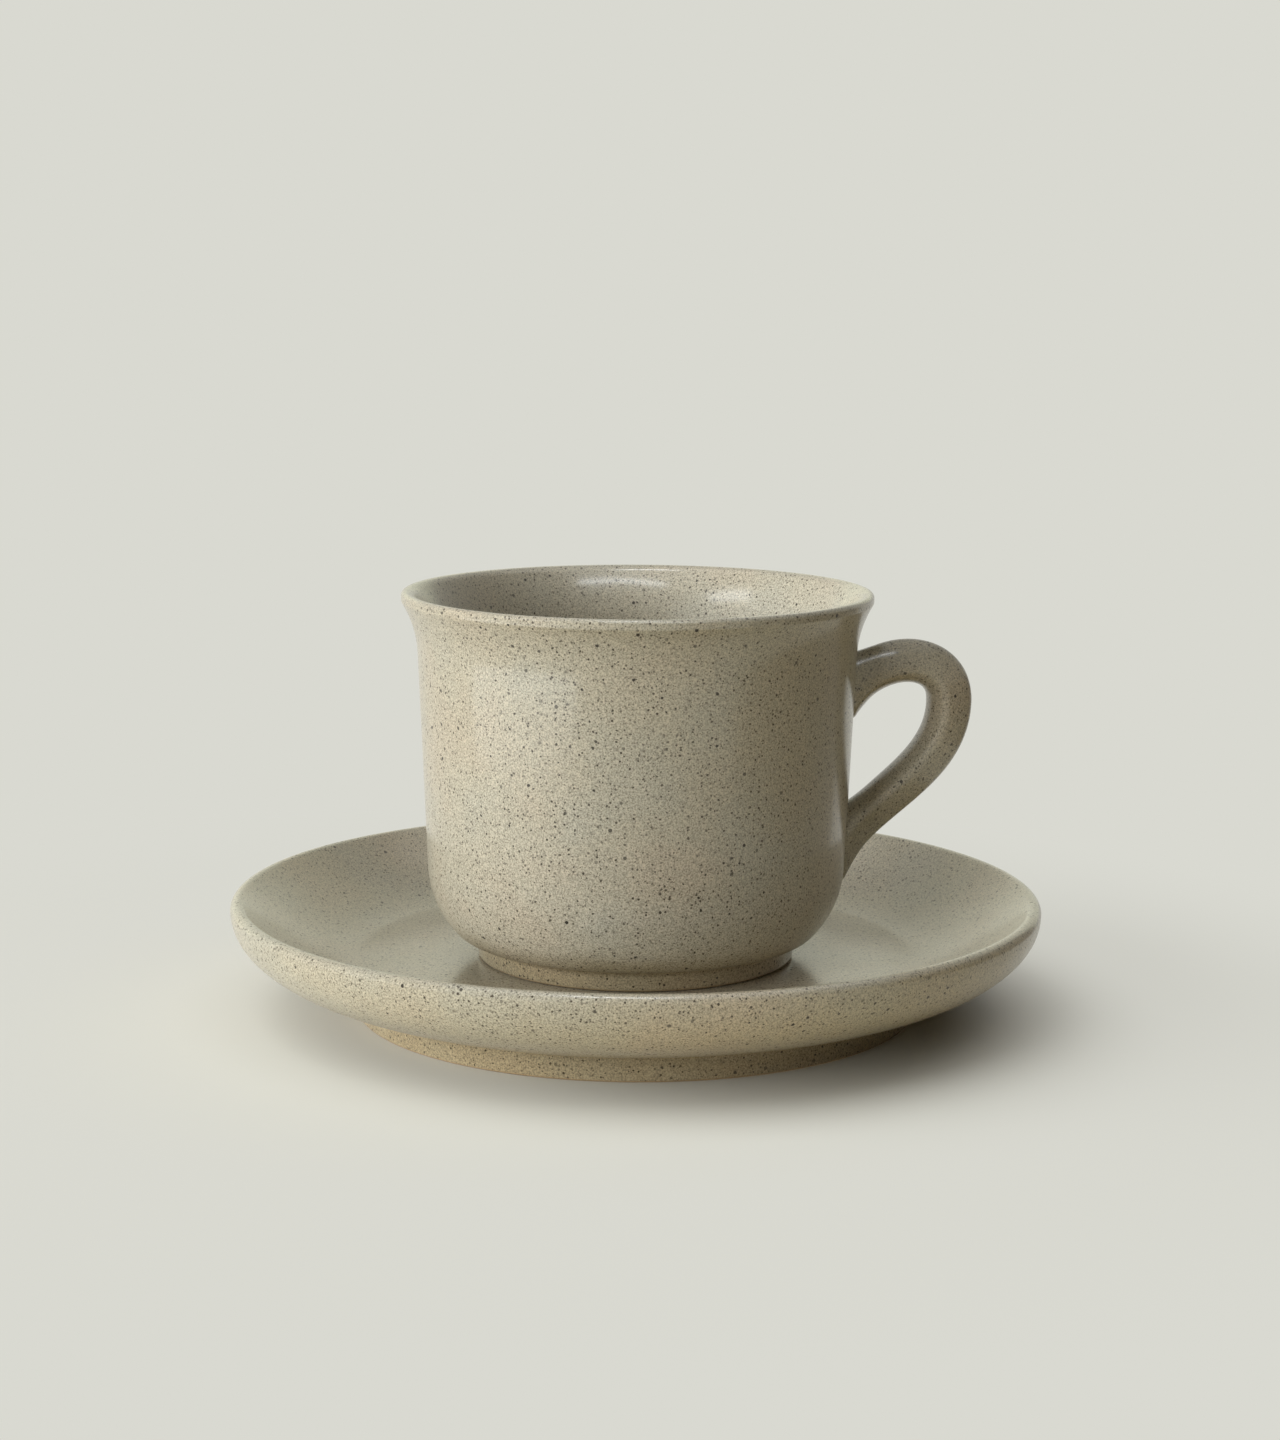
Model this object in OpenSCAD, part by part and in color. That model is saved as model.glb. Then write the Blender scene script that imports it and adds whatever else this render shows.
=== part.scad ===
// Espresso cup standing on its saucer, both in speckled glazed stoneware.
// Millimetres, +Z up. The origin is on the saucer's axis, at the level that the saucer stands on.
// The handle points along +X.

/* [Cup] */
// Outside diameter of the rim
rim_d = 66.4; // [56:0.2:76]
// Height of the cup, from the bottom of its foot to its rim
cup_h = 52.3; // [46:0.1:64]
// How far the lip stands out from the line of the wall
rim_overhang = 1.9; // [0.6:0.1:3]
// Lean of the wall, outwards from upright, in degrees
wall_lean = 2.4; // [0:0.1:5]
// Thickness of the wall
wall_t = 3; // [2.4:0.1:4]
// Thickness of the rounded lip
lip_t = 2.2; // [1.6:0.1:2.4]
// Radius of the outward sweep below the lip
sweep_r = 15.5; // [10:0.5:22]
// Outside radius of the rounded bottom
bottom_r = 14; // [11:0.5:16]
// Inside radius between the wall and the floor
inside_r = 10; // [6:0.5:13]
// Thickness of the cup's floor
cup_floor_t = 3.4; // [2.6:0.1:5]

/* [Cup foot] */
// Outside diameter of the foot ring
cup_foot_d = 45; // [38:0.5:50]
// Height of the foot ring's outer side
cup_foot_h = 3.1; // [2.2:0.1:4]
// How far the body stands out over the foot ring
foot_step = 2.4; // [1.5:0.1:3]
// Radius of the hollow corner between the foot ring and the body
foot_cove_r = 1.2; // [0.6:0.1:1.4]
// Width of the foot ring
cup_foot_w = 3.2; // [2.4:0.1:5]
// Depth of the hollow inside the foot ring
cup_hollow = 1; // [0.7:0.1:2]

/* [Handle] */
// Width of the strap, seen from the end of the handle
handle_w = 8; // [6:0.2:11]
// Thickness of the strap, seen from the side
handle_t = 6.1; // [4.4:0.1:7]
// Size of the strap at its lower root, as a share of its size above
lower_size = 0.88; // [0.75:0.01:1]
// Distance from the wall to the outermost edge of the handle
handle_reach = 16.9; // [14:0.1:22]
// Distance from the rim down to the middle of the upper root
upper_root_drop = 13.5; // [12:0.1:16]
// Height of the middle of the lower root above the bottom of the foot
lower_root_h = 16.5; // [15:0.1:22]
// Distance from the upper root down to the handle's outermost point
outermost_drop = 2.4; // [1:0.1:5]
// Angle at which the strap leaves the wall, upwards, in degrees
upper_root_angle = 44; // [30:1:55]
// Angle at which the strap comes down to the lower root, in degrees
lower_root_angle = 55; // [40:1:60]
// How much the strap swells on all sides where it meets the wall
root_flare = 0.5; // [0.2:0.1:1.5]
// Distance from the wall over which a root swells
flare_length = 3; // [2:0.1:5]

/* [Saucer] */
// Outside diameter of the saucer
saucer_d = 115; // [104:0.5:132]
// Height of the saucer
saucer_h = 16.4; // [14:0.1:22]
// Thickness of the rounded lip
saucer_lip_t = 2.4; // [2:0.1:3.2]
// Thickness of the flat base
saucer_base_t = 4.1; // [3:0.1:5.5]
// Width of flat floor left around the foot of the cup
floor_margin = 16.5; // [6:0.5:20]
// Where the inside of the dish bends up, as a share of the way from the flat floor to the lip
dish_bend = 0.5; // [0.35:0.01:0.6]
// Upward pull of the underside's curve at the lip, as a share of its rise
rise_pull = 0.55; // [0.4:0.01:0.65]
// Outward pull of the underside's curve at the foot, as a share of its run
run_pull = 0.49; // [0.3:0.01:0.6]
// Slope of the underside where it meets the foot, in degrees
under_slope = 8; // [0:0.5:12]

/* [Saucer foot] */
// Outside diameter of the foot ring
saucer_foot_d = 80; // [64:0.5:88]
// Height of the foot ring's outer side
saucer_foot_h = 3.8; // [2.8:0.1:4.6]
// Width of the foot ring
saucer_foot_w = 4; // [3:0.1:6]
// Depth of the hollow inside the foot ring
saucer_hollow = 3.35; // [2:0.05:4]

/* [Edges] */
// Radius on the bottom edges of both foot rings
foot_edge_r = 0.5; // [0.3:0.1:0.6]

/* [Hidden] */

// Roundness: degrees of turn per step of an arc, and steps along a free curve.
arc_step = 6;
curve_steps = 18;
$fn = 96;

// The strap's cross-section is an oval with squared shoulders, a power above 2.
section_sides = 24;
section_power = 2.6;
// Pulls of the handle's two curves, as shares of the straight distance that each one spans.
pull_at_upper_root = 0.535;
pull_above_outermost = 0.47;
pull_below_outermost = 0.385;
pull_at_lower_root = 0.33;
// Rings along the lead that runs into the wall, and how deep it goes past the strap's far edge.
lead_steps = 6;
root_cover = 2;

glaze_colour = "#a59d91";
handle_colour = "#9c9488";

// Levels and radii that several pieces share.
saucer_floor_z = saucer_hollow + saucer_base_t;
cup_foot_r = cup_foot_d / 2;
saucer_foot_r = saucer_foot_d / 2;
floor_r = cup_foot_r + floor_margin;
lip_r = lip_t / 2;
saucer_lip_r = saucer_lip_t / 2;

// The wall's outer face, in the half-plane of radius and height above the cup's foot.
wall_dir = [sin(wall_lean), cos(wall_lean)];
wall_out = [cos(wall_lean), -sin(wall_lean)];
function wall_radius(h) = rim_d / 2 - rim_overhang - (cup_h - h) * tan(wall_lean);

// Centre of the rounded bottom: it touches the wall and comes down to the level of the foot's top.
ledge_r = cup_foot_r + foot_step;
bottom_run = ledge_r - wall_radius(cup_foot_h) + bottom_r / cos(wall_lean);
bottom_rise = bottom_run > bottom_r * tan(wall_lean)
    ? root_of_rise(tan(wall_lean), bottom_run, bottom_r)
    : bottom_r;
function root_of_rise(k, g, r) = (g * k + sqrt(pow(g * k, 2) - (1 + k * k) * (g * g - r * r))) / (1 + k * k);
bottom_h = cup_foot_h + bottom_rise;
bottom_c = [wall_radius(bottom_h) - bottom_r / cos(wall_lean), bottom_h];
bottom_end = max(-90, atan2(-bottom_rise, ledge_r - bottom_c[0]));
wall_start = bottom_c + bottom_r * wall_out;

// Lip and the sweeps that lead to it: each touches the wall's face and the round of the lip.
lip_c = [rim_d / 2 - lip_r, cup_h - lip_r];
sweep_q = wall_start + sweep_r * wall_out - lip_c;
function sweep_centre(reach) =
    let (along = sweep_q * wall_dir)
    lip_c + sweep_q + (-along - sqrt(pow(along, 2) - sweep_q * sweep_q + pow(reach, 2))) * wall_dir;
outer_sweep_c = sweep_centre(sweep_r + lip_r);
inner_sweep_c = sweep_centre(sweep_r + wall_t - lip_r);

// Inside of the cup.
cup_floor_h = cup_hollow + cup_floor_t;
inside_h = cup_floor_h + inside_r;
inside_c = [wall_radius(inside_h) - (wall_t + inside_r) / cos(wall_lean), inside_h];

// Points along an arc, and along a curve that leaves a towards b and reaches d from c.
function arc(c, r, from, to) =
    let (n = max(2, ceil(abs(to - from) / arc_step)))
    [for (i = [0 : n]) let (a = from + (to - from) * i / n) c + r * [cos(a), sin(a)]];
function curve_point(a, b, c, d, t) =
    pow(1 - t, 3) * a + 3 * pow(1 - t, 2) * t * b + 3 * (1 - t) * t * t * c + pow(t, 3) * d;
function curve(a, b, c, d) = [for (i = [0 : curve_steps]) curve_point(a, b, c, d, i / curve_steps)];
function bearing(from, to) = atan2(to[1] - from[1], to[0] - from[0]);

// Section of a foot ring from the hollow inside it, round its bottom, to its outer edge.
function foot_ring(r, w, hollow) = concat(
    [[0, hollow], [r - w, hollow]],
    arc([r - w + foot_edge_r, foot_edge_r], foot_edge_r, 180, 270),
    arc([r - foot_edge_r, foot_edge_r], foot_edge_r, -90, 0)
);

// Outer face of the cup, from the hollow corner above its foot to the top of its lip.
function cup_outside() = concat(
    arc([cup_foot_r + foot_cove_r, cup_foot_h - foot_cove_r], foot_cove_r, 180, 90),
    arc(bottom_c, bottom_r, bottom_end, -wall_lean),
    arc(outer_sweep_c, sweep_r, 180 - wall_lean, bearing(outer_sweep_c, lip_c)),
    arc(lip_c, lip_r, bearing(lip_c, outer_sweep_c), 90)
);

// Inner face of the cup, from the top of its lip to the middle of its floor.
function cup_inside() = concat(
    arc(lip_c, lip_r, 90, bearing(inner_sweep_c, lip_c)),
    arc(inner_sweep_c, sweep_r + wall_t, bearing(inner_sweep_c, lip_c), 180 - wall_lean),
    arc(inside_c, inside_r, -wall_lean, -90),
    [[0, cup_floor_h]]
);

module cup_body() {
    color(glaze_colour)
    translate([0, 0, saucer_floor_z])
    rotate_extrude()
    polygon(concat(foot_ring(cup_foot_r, cup_foot_w, cup_hollow), cup_outside(), cup_inside()));
}

// The cup's outer shape without its hollow: what the handle's ends are cut to.
module cup_filled() {
    rotate_extrude()
    polygon(concat([[0, 0], [cup_foot_r, 0]], cup_outside(), [[0, cup_h]]));
}

// Centre line of the strap: out of the wall, over the top, and down a slant to the lower root.
upper_root_h = cup_h - upper_root_drop;
outermost_h = upper_root_h - outermost_drop;
upper_root = [wall_radius(upper_root_h), upper_root_h];
lower_root = [wall_radius(lower_root_h), lower_root_h];
outermost = [wall_radius(outermost_h) + handle_reach - handle_t / 2, outermost_h];
upper_dir = [cos(upper_root_angle), sin(upper_root_angle)];
lower_dir = [cos(lower_root_angle), sin(lower_root_angle)];
upper_span = norm(outermost - upper_root);
lower_span = norm(outermost - lower_root);
// Length of strap that runs into the wall before the ends are cut to it.
root_lead = (handle_t / 2 + root_flare) * tan(max(upper_root_angle, lower_root_angle)) + root_cover;
function lead(root, dir) = [for (i = [1 : lead_steps]) root - root_lead * i / lead_steps * dir];
function reverse(list) = [for (i = [len(list) - 1 : -1 : 0]) list[i]];

upper_curve = curve(
    upper_root,
    upper_root + pull_at_upper_root * upper_span * upper_dir,
    outermost + [0, pull_above_outermost * upper_span],
    outermost
);
lower_curve = curve(
    outermost,
    outermost - [0, pull_below_outermost * lower_span],
    lower_root + pull_at_lower_root * lower_span * lower_dir,
    lower_root
);
strap_line = concat(
    reverse(lead(upper_root, upper_dir)),
    upper_curve,
    [for (i = [1 : curve_steps]) lower_curve[i]],
    lead(lower_root, lower_dir)
);
strap_last = len(strap_line) - 1;

// Side of the centre line that faces away from the cup, at point i.
function strap_normal(i) =
    let (d = strap_line[min(i + 1, strap_last)] - strap_line[max(i - 1, 0)])
    [-d[1], d[0]] / norm(d);
// Size of the strap at point i: it tapers from its outermost point down to the lower root.
function strap_size(i) =
    1 - (1 - lower_size) * min(1, max(0, (i - lead_steps - curve_steps) / curve_steps));
// How far a root has swelled at point p: 1 at the wall, 0 past the flare.
function root_share(p) =
    let (gap = norm([p[0], p[1]]) - wall_radius(p[2]))
    pow(1 - min(1, max(0, gap / flare_length)), 2);

// One ring of points round the strap, swelled where it is near the wall.
function strap_ring(i) =
    let (
        c = strap_line[i],
        n = strap_normal(i),
        half_w = strap_size(i) * handle_w / 2,
        half_t = strap_size(i) * handle_t / 2
    )
    [for (k = [0 : section_sides - 1])
        let (
            a = 360 * k / section_sides,
            across = half_w * sign(cos(a)) * pow(abs(cos(a)), 2 / section_power),
            out = half_t * sign(sin(a)) * pow(abs(sin(a)), 2 / section_power),
            offset = [n[0] * out, across, n[1] * out],
            p = [c[0], 0, c[1]] + offset
        )
        p + root_flare * root_share(p) * offset / norm(offset)
    ];

module strap() {
    m = section_sides;
    points = [for (i = [0 : strap_last]) each strap_ring(i)];
    sides = [for (i = [0 : strap_last - 1], k = [0 : m - 1])
        each let (a = i * m + k, b = i * m + (k + 1) % m) [[a, b, a + m], [b, b + m, a + m]]
    ];
    first_end = [for (k = [m - 1 : -1 : 0]) k];
    last_end = [for (k = [0 : m - 1]) strap_last * m + k];
    polyhedron(points, concat([first_end], sides, [last_end]));
}

module cup_handle() {
    color(handle_colour)
    translate([0, 0, saucer_floor_z])
    difference() {
        strap();
        cup_filled();
    }
}

// Section of the saucer: under the dish to the lip, then down the inside to the flat floor.
saucer_lip_c = [saucer_d / 2 - saucer_lip_r, saucer_h - saucer_lip_r];
under_start = [saucer_foot_r, saucer_foot_h];
under_end = saucer_lip_c + [saucer_lip_r, 0];
// The inside leaves the lip on a slope that would meet the floor at the bend.
lip_slope = bearing([floor_r + dish_bend * (saucer_lip_c[0] - floor_r), saucer_floor_z], saucer_lip_c);
inside_start = saucer_lip_c + saucer_lip_r * [-sin(lip_slope), cos(lip_slope)];
inside_end = [floor_r, saucer_floor_z];
inside_bend = [inside_start[0] - (inside_start[1] - saucer_floor_z) / tan(lip_slope), saucer_floor_z];

module saucer() {
    under = curve(
        under_start,
        under_start + run_pull * (under_end[0] - under_start[0]) * [cos(under_slope), sin(under_slope)],
        under_end - [0, rise_pull * (under_end[1] - under_start[1])],
        under_end
    );
    inside = curve(
        inside_start,
        (inside_start + 2 * inside_bend) / 3,
        (inside_end + 2 * inside_bend) / 3,
        inside_end
    );
    color(glaze_colour)
    rotate_extrude()
    polygon(concat(
        foot_ring(saucer_foot_r, saucer_foot_w, saucer_hollow),
        under,
        arc(saucer_lip_c, saucer_lip_r, 0, 90 + lip_slope),
        inside,
        [[0, saucer_floor_z]]
    ));
}

saucer();
cup_body();
cup_handle();
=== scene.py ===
"""Models an espresso cup, its handle and its saucer in speckled glazed stoneware.

It is laid out as an add-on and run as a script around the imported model. Lengths are in metres,
in the model's own frame: the origin is on the saucer's axis, at the level that the saucer stands
on, +Z is up, and the handle points along +X.
"""

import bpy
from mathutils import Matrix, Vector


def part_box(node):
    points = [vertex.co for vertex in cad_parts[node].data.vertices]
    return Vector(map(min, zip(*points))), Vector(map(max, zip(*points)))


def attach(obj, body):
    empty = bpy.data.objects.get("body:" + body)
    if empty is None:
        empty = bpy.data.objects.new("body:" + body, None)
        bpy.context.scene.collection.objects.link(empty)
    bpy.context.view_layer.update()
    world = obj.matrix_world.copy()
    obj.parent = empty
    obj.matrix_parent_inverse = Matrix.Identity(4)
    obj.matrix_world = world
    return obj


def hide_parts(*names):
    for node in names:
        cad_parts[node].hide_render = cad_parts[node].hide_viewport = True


bl_info = {
    "name": "Stoneware Espresso Cup",
    "version": (1, 0, 0),
    "blender": (4, 5, 0),
    "location": "View3D > Sidebar > Stoneware",
    "description": "Models a speckled stoneware cup with its handle and saucer on a plain floor",
    "category": "Add Mesh",
}

import math

import bpy
from bpy.props import FloatProperty, FloatVectorProperty, PointerProperty
from bpy.types import NodeSocket, Operator, Panel, PropertyGroup
from mathutils import Matrix, Vector

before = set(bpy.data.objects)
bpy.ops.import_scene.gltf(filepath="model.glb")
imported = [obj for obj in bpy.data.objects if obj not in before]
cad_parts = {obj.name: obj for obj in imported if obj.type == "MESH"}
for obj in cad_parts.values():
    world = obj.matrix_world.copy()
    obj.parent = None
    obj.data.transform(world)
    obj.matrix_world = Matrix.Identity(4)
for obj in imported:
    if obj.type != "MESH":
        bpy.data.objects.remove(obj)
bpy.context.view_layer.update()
CUP_LOW, CUP_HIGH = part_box("cup_body")
SAUCER_LOW, SAUCER_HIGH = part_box("saucer")

MM = 0.001
# Fineness of the turned shapes: sides of a full turn, turn of one step along an arc,
# steps along a free curve and round a softened corner, and the longest step along a straight stretch.
TURN_SIDES = 256
ARC_STEP = math.radians(3)
CURVE_STEPS = 28
CORNER_STEPS = 6
LONGEST_STEP = 2.5 * MM
# Vertices nearer than this are one.
MERGE_DISTANCE = 0.002 * MM
# The most of a foot ring's hollow corner that pooled glaze takes up, so that some straight side is left.
POOL_SHARE = 0.9
# How far apart the high and low places of an uneven surface lie.
SAUCER_WANDER = 45 * MM
CUP_WANDER = 30 * MM


def linear(hex_colour):
    """The linear colour that a screen shows as this hexadecimal one."""
    channels = [int(hex_colour[i:i + 2], 16) / 255 for i in (1, 3, 5)]
    return tuple(c / 12.92 if c <= 0.04045 else ((c + 0.055) / 1.055) ** 2.4 for c in channels)


def length(name, description, default):
    return FloatProperty(name=name, description=description, default=default, unit="LENGTH", precision=5)


def angle(name, description, degrees):
    return FloatProperty(name=name, description=description, default=math.radians(degrees), subtype="ANGLE")


def share(name, description, default):
    return FloatProperty(
        name=name, description=description, default=default, min=0, max=1, subtype="FACTOR"
    )


def number(name, description, default):
    return FloatProperty(name=name, description=description, default=default, min=0)


def colour(name, description, hex_colour):
    return FloatVectorProperty(
        name=name, description=description, default=linear(hex_colour), min=0, max=1, subtype="COLOR"
    )


class CupSizes(PropertyGroup):
    rim_diameter: length("Rim diameter", "Outside diameter of the rim", CUP_HIGH.y - CUP_LOW.y)
    height: length("Height", "From the bottom of the foot to the rim", CUP_HIGH.z - CUP_LOW.z)
    rim_overhang: length("Rim overhang", "How far the lip stands out from the line of the wall", 1.9 * MM)
    wall_lean: angle("Wall lean", "Lean of the wall, outwards from upright", 2.4)
    wall_thickness: length("Wall thickness", "Thickness of the wall", 3 * MM)
    lip_edge: length("Lip edge", "Radius of the edges on the outer side of the lip", 0.65 * MM)
    lip_band: length("Lip band", "Height of the upright stretch between those edges", 0.5 * MM)
    lip_inside: length("Lip inside", "Radius of the inner side of the lip", 1.9 * MM)
    sweep_radius: length("Sweep radius", "Radius of the outward sweep below the lip", 15.5 * MM)
    bottom_radius: length("Bottom radius", "Outside radius of the rounded bottom", 14 * MM)
    inside_radius: length("Inside radius", "Inside radius between the wall and the floor", 10 * MM)
    floor_thickness: length("Floor thickness", "Thickness of the floor", 3.4 * MM)
    foot_diameter: length("Foot diameter", "Outside diameter of the foot ring", 45 * MM)
    foot_height: length("Foot height", "Height of the foot ring's outer side", 3.1 * MM)
    foot_step: length("Foot step", "How far the body stands out over the foot ring", 2.4 * MM)
    foot_cove: length("Foot cove", "Radius of the hollow corner between foot ring and body", 1.2 * MM)
    ledge_round: length("Ledge round", "How far the body's edge over the foot is rounded off", 1.2 * MM)
    foot_width: length("Foot width", "Width of the foot ring", 3.2 * MM)
    foot_hollow: length("Foot hollow", "Depth of the hollow inside the foot ring", 1 * MM)
    foot_edge: length("Foot edge", "Radius on the bottom edges of the foot ring", 0.5 * MM)
    pooled_glaze: length("Pooled glaze", "How far glaze fills the corner under the foot", 0.6 * MM)


class HandleSizes(PropertyGroup):
    width: length("Width", "Width of the strap, seen from the end of the handle", 8 * MM)
    thickness: length("Thickness", "Thickness of the strap, seen from the side", 6.1 * MM)
    lower_size: share("Lower size", "Size of the strap at its lower root, as a share of that above", 0.88)
    reach: length("Reach", "From the wall to the outermost edge of the handle", 16.9 * MM)
    upper_root_drop: length("Upper root drop", "From the rim to the middle of the upper root", 13.5 * MM)
    lower_root_height: length("Lower root height", "Middle of the lower root above the foot", 16.5 * MM)
    outermost_drop: length("Outermost drop", "From the upper root down to the outermost point", 2.4 * MM)
    upper_root_angle: angle("Upper root angle", "Angle at which the strap leaves the wall", 44)
    lower_root_angle: angle("Lower root angle", "Angle at which the strap reaches the lower root", 55)
    root_flare: length("Root flare", "How much the strap swells where it meets the wall", 0.5 * MM)
    flare_length: length("Flare length", "Distance from the wall over which a root swells", 3 * MM)
    root_bite: length("Root bite", "How far the ends reach into the wall", 0.15 * MM)


class SaucerSizes(PropertyGroup):
    diameter: length("Diameter", "Outside diameter of the saucer", SAUCER_HIGH.x - SAUCER_LOW.x)
    height: length("Height", "Height of the saucer", SAUCER_HIGH.z - SAUCER_LOW.z)
    lip_thickness: length("Lip thickness", "Thickness of the rounded lip", 2.4 * MM)
    floor_level: length("Floor level", "Height of the flat floor that the cup stands on", CUP_LOW.z)
    floor_diameter: length("Floor diameter", "Diameter of the flat floor", 78 * MM)
    dish_bend: share("Dish bend", "Where the inside bends up, from the flat floor to the lip", 0.5)
    rise_pull: share("Rise pull", "Upward pull of the underside's curve at the lip", 0.55)
    run_pull: share("Run pull", "Outward pull of the underside's curve at the foot", 0.49)
    under_slope: angle("Under slope", "Slope of the underside where it meets the foot", 8)
    foot_diameter: length("Foot diameter", "Outside diameter of the foot ring", 80 * MM)
    foot_height: length("Foot height", "Height of the foot ring's outer side", 3.8 * MM)
    foot_width: length("Foot width", "Width of the foot ring", 4 * MM)
    foot_hollow: length("Foot hollow", "Depth of the hollow inside the foot ring", 3.35 * MM)
    foot_edge: length("Foot edge", "Radius on the bottom edges of the foot ring", 0.5 * MM)
    pooled_glaze: length("Pooled glaze", "How far glaze fills the corner above the foot", 0.8 * MM)


class GlazeLook(PropertyGroup):
    body: colour("Body", "Colour of the glaze between its specks", "#b4ad99")
    warm_cloud: colour("Warm cloud", "Colour of the warmer clouds in the glaze", "#b6ac97")
    cool_cloud: colour("Cool cloud", "Colour of the cooler clouds in the glaze", "#b2ad9b")
    dark_speck: colour("Dark speck", "Colour of the darkest iron specks", "#2e271f")
    brown_speck: colour("Brown speck", "Colour of the fainter iron specks", "#5e523f")
    # The foot tint is partly the warmer colour of thin glaze and partly painted shade: it darkens the foot
    # and the lower underside, where shade falls.
    foot_tint_and_shade: colour("Foot tint", "Tint of the thinner glaze near a foot", "#d9caae")
    bare_clay: colour("Bare clay", "Colour of the unglazed ring under a foot", "#b39c7c")
    roughness: share("Roughness", "Roughness of the glaze's body", 0.4)
    coat: share("Coat", "Weight of the glassy skin of the glaze", 0.75)
    coat_roughness: share("Coat roughness", "Roughness of the glassy skin", 0.16)
    unevenness: length("Unevenness", "How far the turned surface wanders from true", 0.08 * MM)


class StageLook(PropertyGroup):
    floor: colour("Floor", "Colour of the floor and the backdrop", "#d9d9d1")
    bounce: colour("Bounce", "Colour of the light that the floor throws back at the piece", "#cbbd98")
    key_light: colour("Key light", "Colour of the large lamp on the left", "#fbfdff")
    top_light: colour("Top light", "Colour of the light overhead", "#fffbf2")
    gleam_light: colour("Gleam light", "Colour of the cards that gleam in the glaze", "#f2f9ff")
    back_light: colour("Back light", "Colour of the cards behind the piece", "#fafec6")
    around_light: colour("Around light", "Colour of the soft light from all around", "#ffe0b4")
    key_power: number("Key power", "Power of the large lamp on the left", 152)
    top_power: number("Top power", "Power of the light overhead", 9)
    under_power: number("Under power", "Power of the lamp under the floor", 6)
    floor_power: number("Floor power", "Power of the floor's own lamp", 27.5)
    ambient: number("Ambient", "Strength of the soft light from all around", 0.03)


class StonewareSettings(PropertyGroup):
    cup: PointerProperty(type=CupSizes)
    handle: PointerProperty(type=HandleSizes)
    saucer: PointerProperty(type=SaucerSizes)
    glaze: PointerProperty(type=GlazeLook)
    stage: PointerProperty(type=StageLook)


# Outlines, in the half-plane of radius and height.

def arc(centre, radius, start, end):
    """Points along a round stretch, from one bearing to another."""
    steps = max(2, math.ceil(abs(end - start) / ARC_STEP))
    bearings = [start + (end - start) * i / steps for i in range(steps + 1)]
    return [centre + radius * Vector((math.cos(a), math.sin(a))) for a in bearings]


def curve_point(a, b, c, d, t):
    """Point on the curve that leaves a towards b and reaches d from c."""
    s = 1 - t
    return s ** 3 * a + 3 * s * s * t * b + 3 * s * t * t * c + t ** 3 * d


def curve(a, b, c, d, start=0.0):
    """Points along that curve, from its share start of the way on."""
    shares = [start + (1 - start) * i / CURVE_STEPS for i in range(CURVE_STEPS + 1)]
    return [curve_point(a, b, c, d, t) for t in shares]


def soft_corner(before, corner, after):
    """Points round a corner that glaze has softened, between a point before and one after it."""
    inner = [i / CORNER_STEPS for i in range(1, CORNER_STEPS)]
    return [(1 - t) ** 2 * before + 2 * (1 - t) * t * corner + t * t * after for t in inner]


def bearing(start, end):
    return math.atan2(end.y - start.y, end.x - start.x)


def close_steps(points):
    """The same outline, with points added along its longer straight stretches."""
    outline = [points[0]]
    for start, end in zip(points, points[1:]):
        steps = max(1, math.ceil((end - start).length / LONGEST_STEP))
        outline += [start.lerp(end, i / steps) for i in range(1, steps + 1)]
    return outline


def foot_ring(sizes):
    """From the middle of the hollow inside a foot ring, round its bottom, to its outer edge."""
    outer = sizes.foot_diameter / 2
    inner = outer - sizes.foot_width
    edge = sizes.foot_edge
    pool = min(sizes.pooled_glaze, sizes.foot_hollow - edge) * POOL_SHARE
    corner = Vector((inner, sizes.foot_hollow))
    before = corner - Vector((pool, 0))
    after = corner - Vector((0, pool))
    inner_edge = arc(Vector((inner + edge, edge)), edge, math.pi, 1.5 * math.pi)
    outer_edge = arc(Vector((outer - edge, edge)), edge, -0.5 * math.pi, 0)
    start = [Vector((0, sizes.foot_hollow)), before]
    return start + soft_corner(before, corner, after) + [after] + inner_edge + outer_edge


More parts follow.
